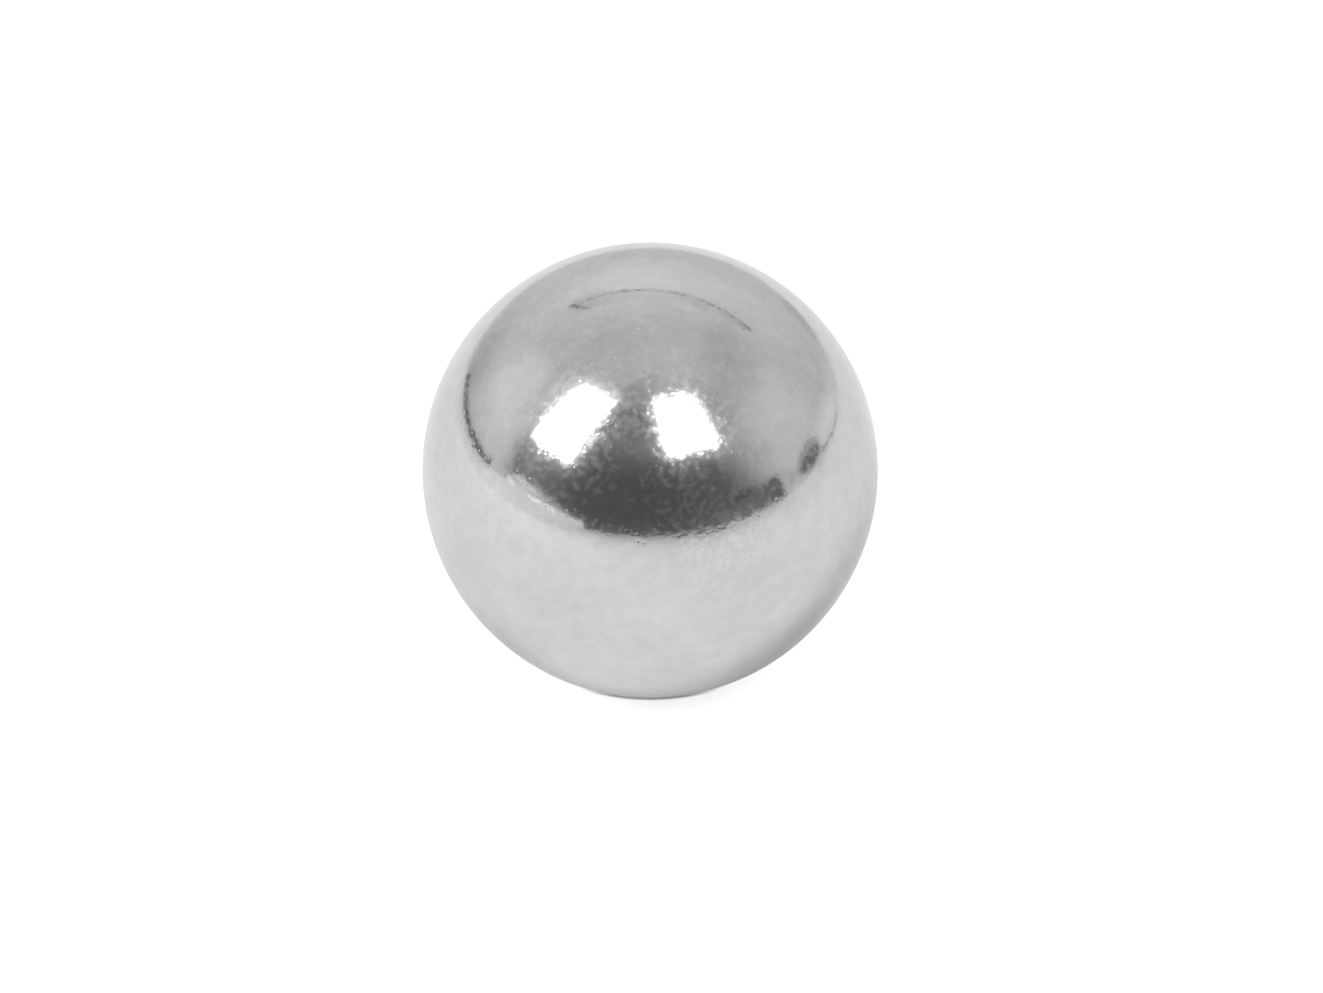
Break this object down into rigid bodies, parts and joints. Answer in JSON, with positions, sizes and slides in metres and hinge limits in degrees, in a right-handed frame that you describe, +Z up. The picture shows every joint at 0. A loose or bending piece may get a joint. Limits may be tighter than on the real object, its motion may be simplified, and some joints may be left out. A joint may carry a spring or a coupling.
{
  "type": "steel ball",
  "caption": "Solid polished steel ball with a plain round surface all over, for rolling, as a weight, or held in a cup, race or magnet.",
  "frame": {"origin": "centre of the ball", "axes": "+Z up; the ball is the same about every axis, so X and Y are free"},
  "size_m": [0.025, 0.025, 0.025],
  "materials": {
    "polished_steel": "lapped and tumble-polished steel, bare, mirror-like with a fine pebbled grain"
  },
  "bodies": {
    "root": {"ball": "polished_steel"}
  },
  "joints": []
}
